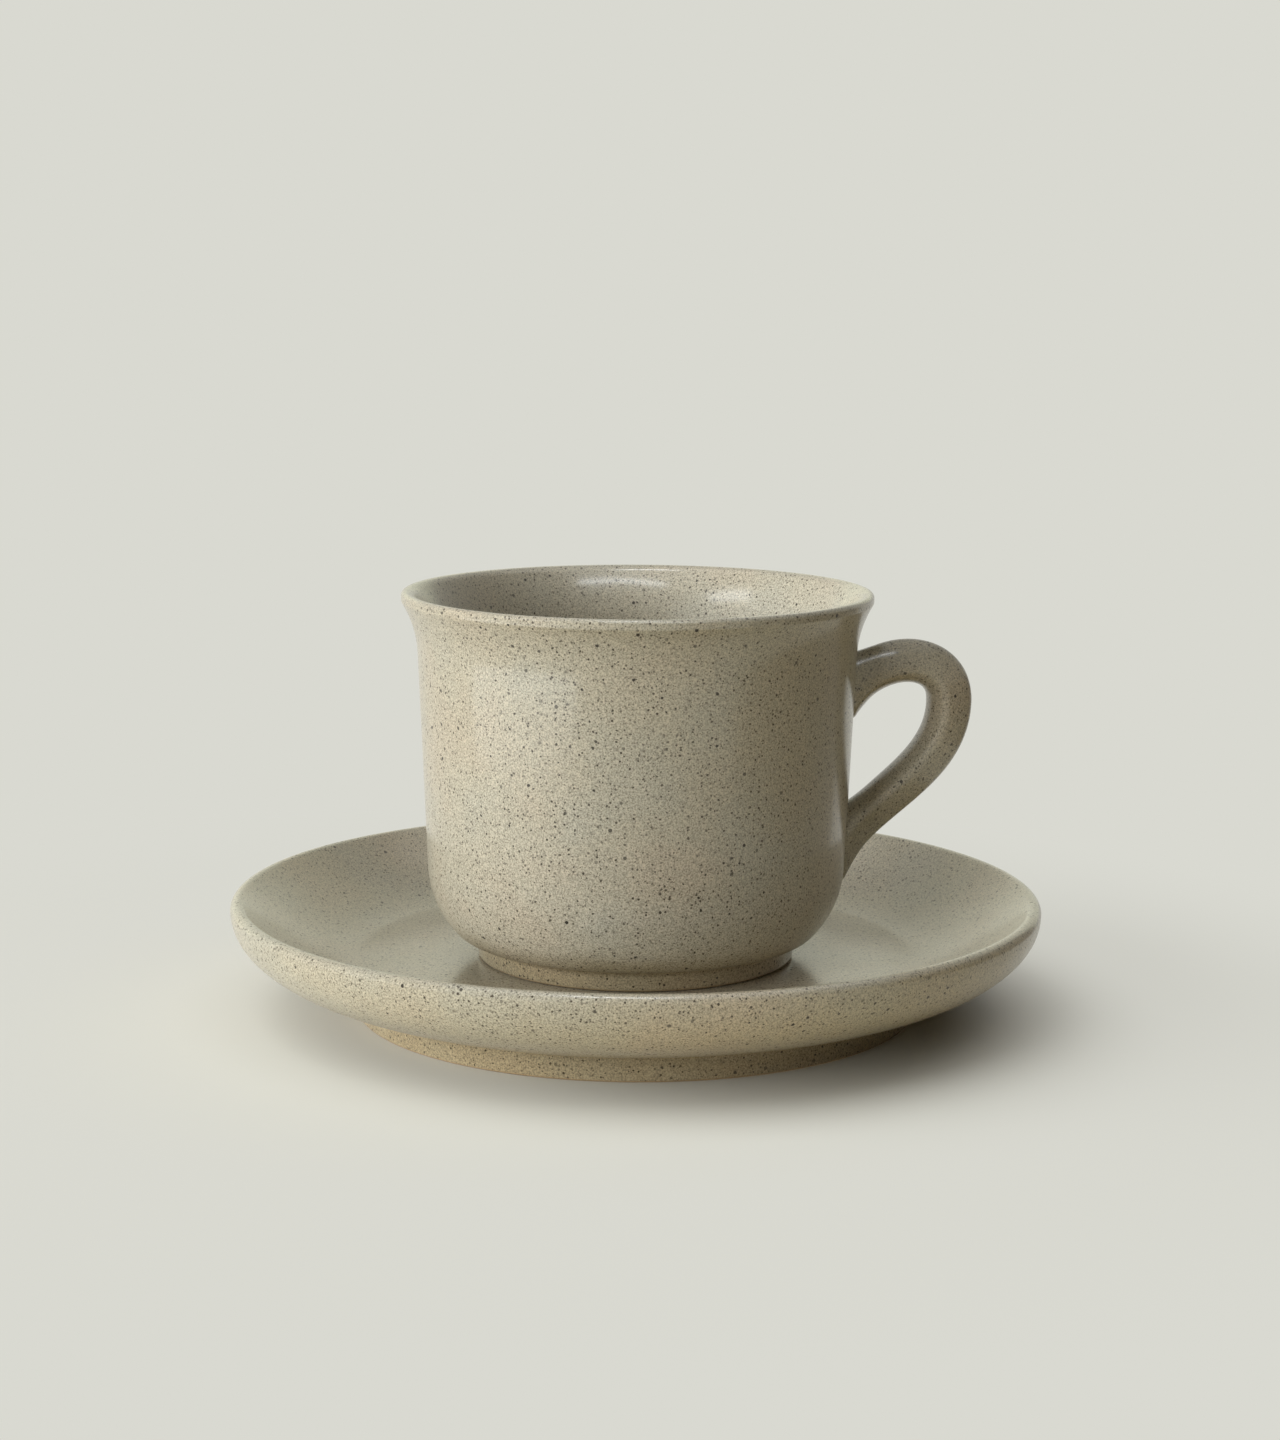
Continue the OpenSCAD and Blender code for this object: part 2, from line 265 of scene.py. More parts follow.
class CupSection:
    """The cup's section: radius, and height above the bottom of its foot."""

    def __init__(self, sizes):
        lean = sizes.wall_lean
        self.sizes = sizes
        self.foot_r = sizes.foot_diameter / 2
        self.ledge_r = self.foot_r + sizes.foot_step
        crest = Vector((sizes.rim_diameter / 2 - sizes.lip_edge, sizes.height))
        self.upper_edge_c = crest - Vector((0, sizes.lip_edge))
        self.lower_edge_c = self.upper_edge_c - Vector((0, sizes.lip_band))
        self.lip_inside_c = crest - Vector((0, sizes.lip_inside))
        self.wall_up = Vector((math.sin(lean), math.cos(lean)))
        self.wall_out = Vector((math.cos(lean), -math.sin(lean)))
        self.bottom_c = self.bottom_centre()
        self.wall_start = self.bottom_c + sizes.bottom_radius * self.wall_out
        self.outer_sweep_c = self.sweep_centre(self.lower_edge_c, sizes.sweep_radius + sizes.lip_edge)
        inner_reach = sizes.sweep_radius + sizes.wall_thickness - sizes.lip_inside
        self.inner_sweep_c = self.sweep_centre(self.lip_inside_c, inner_reach)
        self.floor_h = sizes.foot_hollow + sizes.floor_thickness

    def wall_radius(self, height):
        """Radius of the line of the wall's outer face at a height."""
        sizes = self.sizes
        top = sizes.rim_diameter / 2 - sizes.rim_overhang
        return top - (sizes.height - height) * math.tan(sizes.wall_lean)

    def bottom_centre(self):
        """Centre of the rounded bottom, which touches the wall and ends at the ledge over the foot."""
        sizes = self.sizes
        radius = sizes.bottom_radius
        slope = math.tan(sizes.wall_lean)
        run = self.ledge_r - self.wall_radius(sizes.foot_height) + radius / math.cos(sizes.wall_lean)
        square = 1 + slope * slope
        root = math.sqrt((run * slope) ** 2 - square * (run * run - radius * radius))
        level = sizes.foot_height + (run * slope + root) / square
        return Vector((self.wall_radius(level) - radius / math.cos(sizes.wall_lean), level))

    def sweep_centre(self, lip_c, reach):
        """Centre of a sweep that touches the wall's face, at this reach from a centre in the lip."""
        offset = self.wall_start + self.sizes.sweep_radius * self.wall_out - lip_c
        along = offset.dot(self.wall_up)
        drop = along + math.sqrt(along ** 2 - offset.dot(offset) + reach ** 2)
        return lip_c + offset - drop * self.wall_up

    def outside(self):
        """Outer face, from the hollow corner above the foot to the top of the lip."""
        sizes = self.sizes
        cove_c = Vector((self.foot_r + sizes.foot_cove, sizes.foot_height - sizes.foot_cove))
        cove = arc(cove_c, sizes.foot_cove, math.pi, math.pi / 2)
        ledge = Vector((self.ledge_r, sizes.foot_height))
        start = bearing(self.bottom_c, ledge) + sizes.ledge_round / sizes.bottom_radius
        bottom = arc(self.bottom_c, sizes.bottom_radius, start, -sizes.wall_lean)
        to_lip = bearing(self.outer_sweep_c, self.lower_edge_c)
        sweep = arc(self.outer_sweep_c, sizes.sweep_radius, math.pi - sizes.wall_lean, to_lip)
        from_sweep = bearing(self.lower_edge_c, self.outer_sweep_c)
        lip = arc(self.lower_edge_c, sizes.lip_edge, from_sweep, 0)
        lip += arc(self.upper_edge_c, sizes.lip_edge, 0, math.pi / 2)
        return cove + soft_corner(cove[-1], ledge, bottom[0]) + bottom + sweep + lip[1:]

    def inside(self):
        """Inner face, from the top of the lip to the middle of the floor."""
        sizes = self.sizes
        radius = sizes.inside_radius
        level = self.floor_h + radius
        inset = (sizes.wall_thickness + radius) / math.cos(sizes.wall_lean)
        centre = Vector((self.wall_radius(level) - inset, level))
        to_lip = bearing(self.inner_sweep_c, self.lip_inside_c)
        sweep_r = sizes.sweep_radius + sizes.wall_thickness
        lip = arc(self.lip_inside_c, sizes.lip_inside, math.pi / 2, to_lip)
        sweep = arc(self.inner_sweep_c, sweep_r, to_lip, math.pi - sizes.wall_lean)
        corner = arc(centre, radius, -sizes.wall_lean, -math.pi / 2)
        return lip[1:] + sweep[1:] + corner + [Vector((0, self.floor_h))]

    def whole(self):
        return foot_ring(self.sizes) + self.outside() + self.inside()

    def filled(self):
        """The outer shape without the hollow, which the handle's ends are cut to."""
        sizes = self.sizes
        return [Vector((0, 0)), Vector((self.foot_r, 0))] + self.outside() + [Vector((0, sizes.height))]


def saucer_outline(sizes):
    """The saucer's section, from the hollow under it, round the lip, to the middle of its floor."""
    lip_r = sizes.lip_thickness / 2
    lip_c = Vector((sizes.diameter / 2 - lip_r, sizes.height - lip_r))
    pool = sizes.pooled_glaze
    corner = Vector((sizes.foot_diameter / 2, sizes.foot_height))
    outer_end = lip_c + Vector((lip_r, 0))
    slope = Vector((math.cos(sizes.under_slope), math.sin(sizes.under_slope)))
    run = sizes.run_pull * (outer_end.x - corner.x) * slope
    rise = Vector((0, sizes.rise_pull * (outer_end.y - corner.y)))
    under = curve(corner, corner + run, outer_end - rise, outer_end, start=pool / (3 * run.length))
    before = corner - Vector((0, pool))
    outside = [before] + soft_corner(before, corner, under[0]) + under
    # The inside leaves the lip on a slope that would meet the floor at the bend.
    floor_edge = Vector((sizes.floor_diameter / 2, sizes.floor_level))
    aim = floor_edge + Vector((sizes.dish_bend * (lip_c.x - floor_edge.x), 0))
    slope_up = bearing(aim, lip_c)
    lip = arc(lip_c, lip_r, 0, math.pi / 2 + slope_up)
    inner_start = lip[-1]
    climb = inner_start.y - floor_edge.y
    bend = inner_start - Vector((climb / math.tan(slope_up), climb))
    dish = curve(inner_start, (inner_start + 2 * bend) / 3, (floor_edge + 2 * bend) / 3, floor_edge)
    return foot_ring(sizes) + outside + lip[1:] + dish[1:] + [Vector((0, sizes.floor_level))]


# Modelling steps that several pieces share.

def start_clean():
    """Object mode with nothing selected, so that an operator acts on the new piece alone."""
    if bpy.context.mode != "OBJECT":
        bpy.ops.object.mode_set(mode="OBJECT")
    bpy.ops.object.select_all(action="DESELECT")


def turn_on_axis(name, outline, level):
    """Draws an outline by extruding one vertex from point to point, and spins it round the axis."""
    start_clean()
    bpy.ops.mesh.primitive_plane_add(size=1 * MM)
    piece = bpy.context.object
    piece.name = name
    piece.data.name = name
    points = [Vector((p.x, 0, p.y + level)) for p in close_steps(outline)]
    bpy.ops.object.mode_set(mode="EDIT")
    bpy.ops.mesh.select_mode(type="VERT")
    bpy.ops.mesh.select_all(action="SELECT")
    bpy.ops.mesh.merge(type="CENTER")
    bpy.ops.transform.translate(value=points[0])
    for last, point in zip(points, points[1:]):
        bpy.ops.mesh.extrude_vertices_move(TRANSFORM_OT_translate={"value": point - last})
    bpy.ops.mesh.select_all(action="SELECT")
    bpy.ops.mesh.spin(
        steps=TURN_SIDES, angle=math.tau, use_auto_merge=True, center=(0, 0, 0), axis=(0, 0, 1)
    )
    bpy.ops.mesh.select_all(action="SELECT")
    bpy.ops.mesh.remove_doubles(threshold=MERGE_DISTANCE)
    bpy.ops.mesh.normals_make_consistent(inside=False)
    bpy.ops.object.mode_set(mode="OBJECT")
    bpy.ops.object.shade_smooth()
    return piece


def make_uneven(piece, depth, spread):
    """Lets the surface wander inwards from true by up to this depth, as a fired piece does."""
    clouds = bpy.data.textures.new(piece.name + "_clouds", "CLOUDS")
    clouds.noise_scale = spread
    clouds.noise_depth = 1
    wander = piece.modifiers.new("wander", "DISPLACE")
    wander.texture = clouds
    wander.texture_coords = "LOCAL"
    wander.direction = "NORMAL"
    wander.mid_level = 1
    wander.strength = depth
    bpy.ops.object.modifier_apply(modifier=wander.name)


def take_place(piece, node, body, glaze):
    """Gives a finished piece its glaze, and lets it stand for a node and move with its body."""
    piece.data.materials.clear()
    piece.data.materials.append(glaze)
    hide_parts(node)
    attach(piece, body)


# Nodes.

def add_node(tree, kind, settings=None, **inputs):
    """Adds a node. An input given a socket is linked, and one given a value is set."""
    node = tree.nodes.new(kind)
    for name, value in (settings or {}).items():
        setattr(node, name, value)
    for name, value in inputs.items():
        socket = node.inputs[name.replace("_", " ")]
        if isinstance(value, NodeSocket):
            tree.links.new(value, socket)
        else:
            socket.default_value = value
    return node


def maths(tree, operation, first, second):
    """A sum, product or like of two values."""
    node = add_node(tree, "ShaderNodeMath", {"operation": operation})
    for socket, value in zip(node.inputs, (first, second)):
        if isinstance(value, NodeSocket):
            tree.links.new(value, socket)
        else:
            socket.default_value = value
    return node.outputs[0]


def ramp(tree, value, start, end, low=0.0, high=1.0):
    """A value that runs smoothly from low at start to high at end."""
    node = add_node(
        tree, "ShaderNodeMapRange", {"interpolation_type": "SMOOTHSTEP"},
        Value=value, From_Min=start, From_Max=end, To_Min=low, To_Max=high,
    )
    return node.outputs["Result"]


def blend(tree, factor, under, over, mode="MIX"):
    """One colour laid over another."""
    node = tree.nodes.new("ShaderNodeMix")
    node.data_type = "RGBA"
    node.blend_type = mode
    # The node has sockets for each type of data: these are its factor and its two colours.
    sockets = (node.inputs[0], node.inputs[6], node.inputs[7])
    for socket, value in zip(sockets, (factor, under, over)):
        if isinstance(value, NodeSocket):
            tree.links.new(value, socket)
        elif isinstance(value, float):
            socket.default_value = value
        else:
            socket.default_value = (*value, 1)
    return node.outputs[2]


def cloud(tree, coords, size, detail=2.0):
    """Soft noise whose patches measure about this size."""
    return add_node(tree, "ShaderNodeTexNoise", Vector=coords, Scale=1 / size, Detail=detail)


# Iron specks: the spacing of the grains in the clay, the radius of a speck, how dark it is,
# and how much brown is in it.
SPECK_LAYERS = (
    {"spacing": 0.36 * MM, "radius": 0.11 * MM, "darkness": 0.8, "brown": 0.75},
    {"spacing": 0.6 * MM, "radius": 0.19 * MM, "darkness": 1.0, "brown": 0.3},
    {"spacing": 1.8 * MM, "radius": 0.29 * MM, "darkness": 1.0, "brown": 0.0},
)
# The share of a speck's radius where its soft edge begins, and how the specks of a layer differ: shares of
# the layer's radius, and the least share of its darkness.
SPECK_EDGE = 0.65
SPECK_SIZES = (0.55, 1.1)
LEAST_DARKNESS = 0.5


def add_specks(tree, coords, base, look):
    """Lays the iron specks over a colour. Returns the colour and how much speck covers each point."""
    cover = None
    for layer in SPECK_LAYERS:
        cells = add_node(tree, "ShaderNodeTexVoronoi", Vector=coords, Scale=1 / layer["spacing"])
        chance = add_node(tree, "ShaderNodeSeparateColor", Color=cells.outputs["Color"])
        own_size = ramp(tree, chance.outputs[0], 0, 1, *SPECK_SIZES)
        reach = maths(tree, "DIVIDE", cells.outputs["Distance"], own_size)
        radius = layer["radius"] / layer["spacing"]
        mask = ramp(tree, reach, radius, radius * SPECK_EDGE)
        darkest = layer["darkness"]
        own_darkness = ramp(tree, chance.outputs[1], 0, 1, darkest * LEAST_DARKNESS, darkest)
        mask = maths(tree, "MULTIPLY", mask, own_darkness)
        tone = blend(tree, layer["brown"], look.dark_speck, look.brown_speck)
        base = blend(tree, mask, base, tone)
        cover = mask if cover is None else maths(tree, "MAXIMUM", cover, mask)
    return base, cover


# Sizes of the glaze's patterns.
RAGGED_SIZE = 0.35 * MM
RAGGED_REACH = 0.22 * MM
CLOUD_SIZE = 16 * MM
GRAIN_SIZE = 0.22 * MM
GLOSS_SIZE = 6 * MM
PEEL_SIZE = 3.5 * MM
FINE_SIZE = 0.5 * MM
# The stretches of the noise, which lies between 0 and 1, over which a tone or a finish changes.
COOL_STRETCH = (0.35, 0.5)
WARM_STRETCH = (0.5, 0.68)
GRAIN_STRETCH = (0.25, 0.75)
MIDDLE_STRETCH = (0.3, 0.7)
GRAIN_TONES = (0.66, 1.34)
# Above the foot: where the thinner glaze and the painted shade low on the piece begin and are strongest, by
# how much, how far that line wanders, then where bare clay begins to show and is all bare, and how strongly
# its colour shows.
THIN_AND_SHADE_START = 8 * MM
THIN_AND_SHADE_END = 2 * MM
THIN_AND_SHADE_SHARE = 0.8
THIN_AND_SHADE_WANDER = 1.2 * MM
BARE_START = 0.4 * MM
BARE_END = 0.25 * MM
BARE_SHARE = 0.75
# Finish: how much smoother and rougher the glaze gets in places, and what specks and bare clay add.
SMOOTHER = 0.03
ROUGHER = 0.04
SPECK_ROUGHNESS = 0.12
BARE_ROUGHNESS = 0.85
SPECULAR_LEVEL = 0.35
GLASS_IOR = 1.5
# Relief: shares of the fine ripple and of the pits, then strength and depth of the whole.
FINE_SHARE = 0.12
PIT_SHARE = 0.08
RELIEF_STRENGTH = 0.16
RELIEF_DEPTH = 0.12 * MM


def speckled_glaze(name, look, foot_level):
    """Semi-gloss glaze over iron-rich clay, warmer and darker near the foot, partly from thinner glaze and
    partly from painted shade, with a bare foot ring.
    """
    material = bpy.data.materials.new(name)
    material.use_nodes = True
    tree = material.node_tree
    tree.nodes.clear()
    coords = add_node(tree, "ShaderNodeTexCoord").outputs["Object"]

    # Ragged edges for the specks.
    ragged = cloud(tree, coords, RAGGED_SIZE, detail=1.0)
    warped = add_node(tree, "ShaderNodeVectorMath", {"operation": "MULTIPLY_ADD"})
    tree.links.new(ragged.outputs["Color"], warped.inputs[0])
    warped.inputs[1].default_value = (RAGGED_REACH, RAGGED_REACH, RAGGED_REACH)
    tree.links.new(coords, warped.inputs[2])

    # Body of the glaze: clouds of warmer and cooler tone, then fine grain.
    clouds = cloud(tree, coords, CLOUD_SIZE).outputs[0]
    tone = blend(tree, ramp(tree, clouds, *COOL_STRETCH), look.cool_cloud, look.body)
    tone = blend(tree, ramp(tree, clouds, *WARM_STRETCH), tone, look.warm_cloud)
    grain = cloud(tree, coords, GRAIN_SIZE, detail=1.0).outputs[0]
    shade = add_node(tree, "ShaderNodeCombineColor")
    grain_value = ramp(tree, grain, *GRAIN_STRETCH, *GRAIN_TONES)
    for socket in shade.inputs[:3]:
        tree.links.new(grain_value, socket)
    tone = blend(tree, 1.0, tone, shade.outputs[0], mode="MULTIPLY")
    tone, cover = add_specks(tree, warped.outputs[0], tone, look)

    # Height above the foot: warmer and darker low down, partly thinner glaze and partly painted shade where
    # the foot and underside sit in shade, and a bare ring where the piece stands.
    height = add_node(tree, "ShaderNodeSeparateXYZ", Vector=coords).outputs["Z"]
    wander = ramp(tree, clouds, *MIDDLE_STRETCH, -THIN_AND_SHADE_WANDER, THIN_AND_SHADE_WANDER)
    wavy = maths(tree, "ADD", height, wander)
    thin_glaze_and_shade = ramp(tree, wavy, foot_level + THIN_AND_SHADE_START, foot_level + THIN_AND_SHADE_END, 0.0, THIN_AND_SHADE_SHARE)
    tone = blend(tree, thin_glaze_and_shade, tone, look.foot_tint_and_shade, mode="MULTIPLY")
    bare = ramp(tree, height, foot_level + BARE_START, foot_level + BARE_END)
    tone = blend(tree, maths(tree, "MULTIPLY", bare, BARE_SHARE), tone, look.bare_clay)

    # Finish: slightly uneven gloss, matt specks and matt bare clay.
    gloss_clouds = cloud(tree, coords, GLOSS_SIZE, detail=3.0).outputs[0]
    roughness = look.roughness
    rough = ramp(tree, gloss_clouds, *MIDDLE_STRETCH, roughness - SMOOTHER, roughness + ROUGHER)
    rough = maths(tree, "ADD", rough, maths(tree, "MULTIPLY", cover, SPECK_ROUGHNESS))
    rough = maths(tree, "MAXIMUM", rough, maths(tree, "MULTIPLY", bare, BARE_ROUGHNESS))

    # Relief: the soft orange peel of a fired glaze, and shallow pits at the specks.
    peel = cloud(tree, coords, PEEL_SIZE, detail=1.0).outputs[0]
    fine = cloud(tree, coords, FINE_SIZE, detail=1.0).outputs[0]
    relief = maths(tree, "ADD", peel, maths(tree, "MULTIPLY", fine, FINE_SHARE))
    relief = maths(tree, "SUBTRACT", relief, maths(tree, "MULTIPLY", cover, PIT_SHARE))
    bump = add_node(
        tree, "ShaderNodeBump", Strength=RELIEF_STRENGTH, Distance=RELIEF_DEPTH, Height=relief
    )

    shader = add_node(
        tree, "ShaderNodeBsdfPrincipled",
        Base_Color=tone, Roughness=rough, IOR=GLASS_IOR, Specular_IOR_Level=SPECULAR_LEVEL,
        Coat_Weight=look.coat, Coat_Roughness=look.coat_roughness, Coat_IOR=GLASS_IOR,
        Normal=bump.outputs["Normal"],
    )
    add_node(tree, "ShaderNodeOutputMaterial", Surface=shader.outputs["BSDF"])
    return material


# Pieces.

class STONEWARE_OT_saucer(Operator):
    """Turn the saucer: a shallow dish on a foot ring"""

    bl_idname = "stoneware.saucer"
    bl_label = "Saucer"

    def execute(self, context):
        settings = context.scene.stoneware
        piece = turn_on_axis("saucer_piece", saucer_outline(settings.saucer), SAUCER_LOW.z)
        make_uneven(piece, settings.glaze.unevenness, SAUCER_WANDER)
        glaze = speckled_glaze("saucer_glaze", settings.glaze, SAUCER_LOW.z)
        take_place(piece, "saucer", "saucer", glaze)
        return {"FINISHED"}


def cup_glaze(look):
    """The glaze that the cup and its handle share."""
    name = "cup_glaze"
    return bpy.data.materials.get(name) or speckled_glaze(name, look, CUP_LOW.z)


class STONEWARE_OT_cup_body(Operator):
    """Turn the cup: straight wall, rounded bottom, foot ring and a lip that sweeps out"""

    bl_idname = "stoneware.cup_body"
    bl_label = "Cup body"

    def execute(self, context):
        settings = context.scene.stoneware
        section = CupSection(settings.cup)
        piece = turn_on_axis("cup_body_piece", section.whole(), CUP_LOW.z)
        make_uneven(piece, settings.glaze.unevenness, CUP_WANDER)
        take_place(piece, "cup_body", "cup", cup_glaze(settings.glaze))
        return {"FINISHED"}


# The handle's curves: pulls as shares of the straight distance that each one spans.
PULL_AT_UPPER_ROOT = 0.535
PULL_ABOVE_OUTERMOST = 0.47
PULL_BELOW_OUTERMOST = 0.385
PULL_AT_LOWER_ROOT = 0.33
ROOT_LEAD = 8 * MM
# Squared shoulders of the strap: a handle length of 0.552 would make its section a plain oval.
SHOULDER_PULL = 0.62
STRAP_STEPS = 40
SECTION_STEPS = 12
# Edges of the strap that turn more sharply than this stay sharp.
SHARP_ANGLE = math.radians(40)


def strap_points(sizes, section):
    """The strap's centre line as curve points: place, pull before and after it, and size of the strap."""
    upper_h = section.sizes.height - sizes.upper_root_drop
    outer_h = upper_h - sizes.outermost_drop
    upper = Vector((section.wall_radius(upper_h), upper_h))
    lower = Vector((section.wall_radius(sizes.lower_root_height), sizes.lower_root_height))
    outer = Vector((section.wall_radius(outer_h) + sizes.reach - sizes.thickness / 2, outer_h))
    upper_way = Vector((math.cos(sizes.upper_root_angle), math.sin(sizes.upper_root_angle)))
    lower_way = Vector((math.cos(sizes.lower_root_angle), math.sin(sizes.lower_root_angle)))
    upper_span = (outer - upper).length
    lower_span = (outer - lower).length
    third = ROOT_LEAD / 3
    upper_end = upper - ROOT_LEAD * upper_way
    lower_end = lower - ROOT_LEAD * lower_way
    rise = Vector((0, PULL_ABOVE_OUTERMOST * upper_span))
    fall = Vector((0, PULL_BELOW_OUTERMOST * lower_span))
    small = sizes.lower_size
    return [
        (upper_end, upper_end - third * upper_way, upper_end + third * upper_way, 1),
        (upper, upper - third * upper_way, upper + PULL_AT_UPPER_ROOT * upper_span * upper_way, 1),
        (outer, outer + rise, outer - fall, 1),
        (lower, lower + PULL_AT_LOWER_ROOT * lower_span * lower_way, lower - third * lower_way, small),
        (lower_end, lower_end + third * lower_way, lower_end - third * lower_way, small),
    ]


def strap_section(sizes):
    """An oval with squared shoulders, as a closed curve."""
    start_clean()
    bpy.ops.curve.primitive_bezier_circle_add(radius=1)
    oval = bpy.context.object
    oval.data.resolution_u = SECTION_STEPS
    half = Vector((sizes.width / 2, sizes.thickness / 2, 0))
    for point in oval.data.splines[0].bezier_points:
        before = (point.handle_left - point.co).normalized() * SHOULDER_PULL
        after = (point.handle_right - point.co).normalized() * SHOULDER_PULL
        place = point.co.copy()
        point.handle_left_type = "FREE"
        point.handle_right_type = "FREE"
        point.co = place * half
        point.handle_left = (place + before) * half
        point.handle_right = (place + after) * half
    return oval


def sweep_strap(sizes, section):
    """The bare strap: its section carried along the centre line, and made a mesh."""
    oval = strap_section(sizes)
    start_clean()
    bpy.ops.curve.primitive_bezier_curve_add()
    strap = bpy.context.object
    strap.name = "cup_handle_piece"
    line = strap.data
    line.dimensions = "3D"
    line.twist_mode = "MINIMUM"
    line.resolution_u = STRAP_STEPS
    line.use_fill_caps = True
    line.bevel_mode = "OBJECT"
    line.bevel_object = oval
    points = strap_points(sizes, section)
    spline = line.splines[0]
    spline.bezier_points.add(len(points) - len(spline.bezier_points))
    for point, (*places, size) in zip(spline.bezier_points, points):
        place, before, after = [Vector((p.x, 0, p.y + CUP_LOW.z)) for p in places]
        point.radius = size
        point.handle_left_type = "FREE"
        point.handle_right_type = "FREE"
        point.co = place
        point.handle_left = before
        point.handle_right = after
    bpy.ops.object.convert(target="MESH")
    strap.data.name = strap.name
    bpy.data.objects.remove(oval)
    bpy.ops.object.mode_set(mode="EDIT")
    bpy.ops.mesh.select_all(action="SELECT")
    bpy.ops.mesh.remove_doubles(threshold=MERGE_DISTANCE)
    bpy.ops.mesh.normals_make_consistent(inside=False)
    bpy.ops.object.mode_set(mode="OBJECT")
    bpy.ops.object.transform_apply(location=True, rotation=True, scale=True)
    return strap


def flare_root(strap, wall, swell, distance):
    """Swells the strap on all sides where it comes near the wall."""
    group = strap.vertex_groups.new(name="near_wall")
    group.add(range(len(strap.data.vertices)), 1, "REPLACE")
    near = strap.modifiers.new("near_wall", "VERTEX_WEIGHT_PROXIMITY")
    near.vertex_group = group.name
    near.target = wall
    near.proximity_mode = "GEOMETRY"
    near.proximity_geometry = {"FACE"}
    near.min_dist = distance
    near.max_dist = 0
    near.falloff_type = "SHARP"
    flare = strap.modifiers.new("flare", "DISPLACE")
    flare.vertex_group = group.name
    flare.direction = "NORMAL"
    flare.mid_level = 0
    flare.strength = swell
    for modifier in (near, flare):
        bpy.ops.object.modifier_apply(modifier=modifier.name)
    strap.vertex_groups.clear()


def cut_to_wall(strap, wall):
    """Cuts the strap's ends to the cup's wall."""
    cut = strap.modifiers.new("cut", "BOOLEAN")
    cut.operation = "DIFFERENCE"
    cut.solver = "EXACT"
    cut.object = wall
    bpy.ops.object.modifier_apply(modifier=cut.name)


class STONEWARE_OT_cup_handle(Operator):
    """Sweep the strap of the handle and cut its ends to the cup's wall"""

    bl_idname = "stoneware.cup_handle"
    bl_label = "Cup handle"

    def execute(self, context):
        settings = context.scene.stoneware
        sizes = settings.handle
        section = CupSection(settings.cup)
        wall = turn_on_axis("handle_cutter", section.filled(), CUP_LOW.z)
        strap = sweep_strap(sizes, section)
        flare_root(strap, wall, sizes.root_flare, sizes.flare_length)
        narrower = 1 - 2 * sizes.root_bite / settings.cup.rim_diameter
        wall.scale = (narrower, narrower, 1)
        context.view_layer.update()
        cut_to_wall(strap, wall)
        bpy.data.objects.remove(wall)
        bpy.ops.object.shade_smooth_by_angle(angle=SHARP_ANGLE)
        take_place(strap, "cup_handle", "cup", cup_glaze(settings.glaze))
        return {"FINISHED"}


# Stage: floor, backdrop, lamps and camera.

# Side of the square floor, in metres.
FLOOR_SIZE = 12
# The floor shows real light and shadow near the piece. Its plain colour comes in quickly between
# the first two radii round this place, up to a share, and is all there is from the third radius on.
SHADOW_CENTRE = Vector((-11 * MM, -4 * MM, 0))
SHADOW_RADIUS = 52 * MM
FADED_RADIUS = 88 * MM
PLAIN_RADIUS = 150 * MM
FADED_SHARE = 0.75
# Light bounces off the floor between the piece and these two radii, where it runs out.
BOUNCE_RADIUS = 120 * MM
BOUNCE_END = 400 * MM
CAMERA_PLACE = Vector((-30.17 * MM, -389.03 * MM, 106.15 * MM))
CAMERA_TILT = math.radians(80.55)
CAMERA_TURN = math.radians(-4.5)
CAMERA_ROLL = math.radians(0.35)
CAMERA_LENS = 69.87
CAMERA_NEAR = 10 * MM
# Lamps: bearing round the piece from the camera's side, clockwise from above, and height, both
# in degrees, then distance and size in metres.
AIM = Vector((0, 0, 30 * MM))
KEY_LAMP = {"bearing": 66, "height": 15, "distance": 3.0, "size": (4.7, 1.15)}
TOP_LAMP = {"bearing": 0, "height": 88, "distance": 1.5, "size": (1.9, 1.9)}
SECOND_TOP_LAMP = {"bearing": 0, "height": 88, "distance": 1.55, "size": (1.96, 1.96)}
FLOOR_LAMP = {"bearing": 68, "height": 48, "distance": 2.0, "size": (2.4, 2.2)}
# The light from above comes from two lamps, one close behind the other. The first lights all there is,
# the second all but the handle, which gets this share of the light in the lee of the cup.
HANDLE_SHARE = 0.66
# Cards that gleam in the glaze of the pieces named and give no other light. Their power is in watts,
# and their tint is a colour of the stage's look.
CUP_ONLY = ("cup_body_piece",)
SAUCER_ONLY = ("saucer_piece",)
ROUND_PIECES = CUP_ONLY + SAUCER_ONLY
HANDLE_ONLY = ("cup_handle_piece",)
GLEAM_CARDS = (
    {
        "bearing": 60, "height": 34.5, "distance": 3.0, "size": (1.3, 0.5),
        "power": 12, "tint": "gleam_light", "on": CUP_ONLY,
    },
    {
        "bearing": -11, "height": 52, "distance": 2.5, "size": (1.8, 0.17),
        "power": 12, "tint": "gleam_light", "on": CUP_ONLY,
    },
    {
        "bearing": 58, "height": -3.4, "distance": 0.17, "size": (0.19, 0.04),
        "power": 0.042, "tint": "gleam_light", "on": CUP_ONLY,
    },
    {
        "bearing": 180, "height": 17, "distance": 1.5, "size": (1.8, 0.5),
        "power": 1.0, "tint": "back_light", "on": CUP_ONLY,
    },
    {
        "bearing": 180, "height": 22, "distance": 1.5, "size": (3.2, 1.2),
        "power": 3.3, "tint": "back_light", "on": SAUCER_ONLY,
    },
    {
        "bearing": 15, "height": 80, "distance": 1.5, "size": (0.5, 0.2),
        "power": 4.5, "tint": "gleam_light", "on": ROUND_PIECES,
    },
    {
        "bearing": 9, "height": 57, "distance": 2.0, "size": (0.5, 0.15),
        "power": 2.6, "tint": "gleam_light", "on": HANDLE_ONLY,
    },
)
# The lamp under the floor, which reaches the hollow inside the saucer's foot ring and nothing else.
UNDER_LAMP_DEPTH = 0.5
# The dark flag beside the handle, which only the glaze mirrors.
FLAG_PLACE = (110 * MM, -35 * MM, 30 * MM)
FLAG_SIZE = (170 * MM, 60 * MM)
FLAG_TONE = 0.32
FLAG_COLOUR = (1, 0.95, 0.85, 1)


